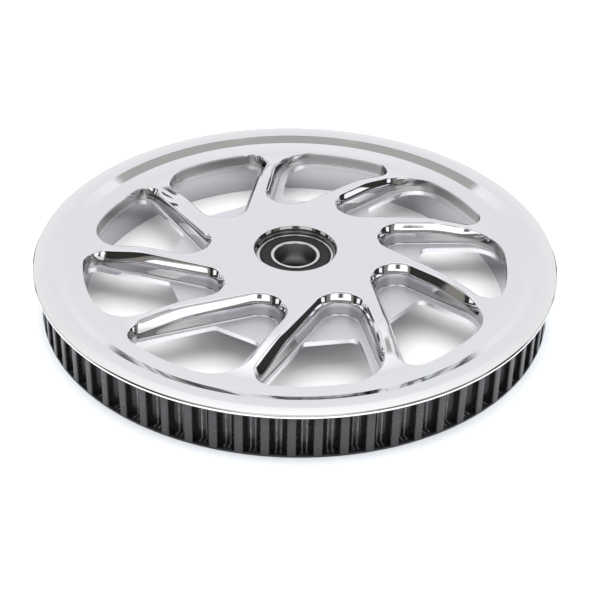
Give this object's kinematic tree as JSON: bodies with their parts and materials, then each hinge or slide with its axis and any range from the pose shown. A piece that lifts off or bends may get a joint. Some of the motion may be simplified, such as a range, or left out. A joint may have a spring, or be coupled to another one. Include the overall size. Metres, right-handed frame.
{
  "type": "motorcycle rear belt pulley",
  "caption": "Chromed rear belt pulley for a motorcycle with swept spoke windows, a flanged rim with a black toothed ring and a sealed ball bearing in its hub",
  "frame": {"origin": "centre of the rim's open side, on the surface that the pulley lies on", "axes": "+Z along the pulley's axis, out of the spoked face; +X towards the middle of one window's mouth"},
  "size_m": [0.3074, 0.3074, 0.033],
  "materials": {
    "chromed_body": "polished chrome plate",
    "black_teeth": "satin black hard coat",
    "spring_wire": "drawn spring wire",
    "bearing_steel": "ground bearing steel",
    "cage_steel": "pressed steel strip",
    "ball_steel": "polished ball steel",
    "insert_steel": "plain steel washer",
    "seal_rubber": "moulded black rubber"
  },
  "bodies": {
    "pulley": {"pulley_body": "chromed_body", "toothed_ring": "black_teeth", "snap_ring": "spring_wire", "bearing_outer_ring": "bearing_steel", "front_seal": "seal_rubber", "back_seal": "seal_rubber", "front_seal_insert": "insert_steel", "back_seal_insert": "insert_steel"},
    "inner_ring": {"bearing_inner_ring": "bearing_steel"},
    "cage": {"cage_front": "cage_steel", "cage_back": "cage_steel", "cage_rivets": "cage_steel"},
    "ball_01": {"ball_01": "ball_steel"},
    "ball_02": {"ball_02": "ball_steel"},
    "ball_03": {"ball_03": "ball_steel"},
    "ball_04": {"ball_04": "ball_steel"},
    "ball_05": {"ball_05": "ball_steel"},
    "ball_06": {"ball_06": "ball_steel"},
    "ball_07": {"ball_07": "ball_steel"},
    "ball_08": {"ball_08": "ball_steel"},
    "ball_09": {"ball_09": "ball_steel"},
    "ball_10": {"ball_10": "ball_steel"}
  },
  "joints": [
    {"name": "inner_ring_spin", "type": "hinge", "parent": "pulley", "child": "inner_ring", "pos_m": [0, 0, 0.0226], "axis": [0, 0, 1], "continuous": true},
    {"name": "cage_spin", "type": "hinge", "parent": "pulley", "child": "cage", "pos_m": [0, 0, 0.0226], "axis": [0, 0, 1], "continuous": true},
    {"name": "ball_01_spin", "type": "hinge", "parent": "cage", "child": "ball_01", "pos_m": [0.018, 0, 0.0226], "axis": [0, 0, 1], "continuous": true},
    {"name": "ball_02_spin", "type": "hinge", "parent": "cage", "child": "ball_02", "pos_m": [0.01456, 0.01058, 0.0226], "axis": [0, 0, 1], "continuous": true},
    {"name": "ball_03_spin", "type": "hinge", "parent": "cage", "child": "ball_03", "pos_m": [0.00556, 0.01712, 0.0226], "axis": [0, 0, 1], "continuous": true},
    {"name": "ball_04_spin", "type": "hinge", "parent": "cage", "child": "ball_04", "pos_m": [-0.00556, 0.01712, 0.0226], "axis": [0, 0, 1], "continuous": true},
    {"name": "ball_05_spin", "type": "hinge", "parent": "cage", "child": "ball_05", "pos_m": [-0.01456, 0.01058, 0.0226], "axis": [0, 0, 1], "continuous": true},
    {"name": "ball_06_spin", "type": "hinge", "parent": "cage", "child": "ball_06", "pos_m": [-0.018, 0, 0.0226], "axis": [0, 0, 1], "continuous": true},
    {"name": "ball_07_spin", "type": "hinge", "parent": "cage", "child": "ball_07", "pos_m": [-0.01456, -0.01058, 0.0226], "axis": [0, 0, 1], "continuous": true},
    {"name": "ball_08_spin", "type": "hinge", "parent": "cage", "child": "ball_08", "pos_m": [-0.00556, -0.01712, 0.0226], "axis": [0, 0, 1], "continuous": true},
    {"name": "ball_09_spin", "type": "hinge", "parent": "cage", "child": "ball_09", "pos_m": [0.00556, -0.01712, 0.0226], "axis": [0, 0, 1], "continuous": true},
    {"name": "ball_10_spin", "type": "hinge", "parent": "cage", "child": "ball_10", "pos_m": [0.01456, -0.01058, 0.0226], "axis": [0, 0, 1], "continuous": true}
  ],
  "couplings": [
    {"joint": "cage_spin", "follows": "inner_ring_spin", "ratio": 0.40833},
    {"joint": "ball_01_spin", "follows": "inner_ring_spin", "ratio": -2.6356},
    {"joint": "ball_02_spin", "follows": "inner_ring_spin", "ratio": -2.6356},
    {"joint": "ball_03_spin", "follows": "inner_ring_spin", "ratio": -2.6356},
    {"joint": "ball_04_spin", "follows": "inner_ring_spin", "ratio": -2.6356},
    {"joint": "ball_05_spin", "follows": "inner_ring_spin", "ratio": -2.6356},
    {"joint": "ball_06_spin", "follows": "inner_ring_spin", "ratio": -2.6356},
    {"joint": "ball_07_spin", "follows": "inner_ring_spin", "ratio": -2.6356},
    {"joint": "ball_08_spin", "follows": "inner_ring_spin", "ratio": -2.6356},
    {"joint": "ball_09_spin", "follows": "inner_ring_spin", "ratio": -2.6356},
    {"joint": "ball_10_spin", "follows": "inner_ring_spin", "ratio": -2.6356}
  ]
}
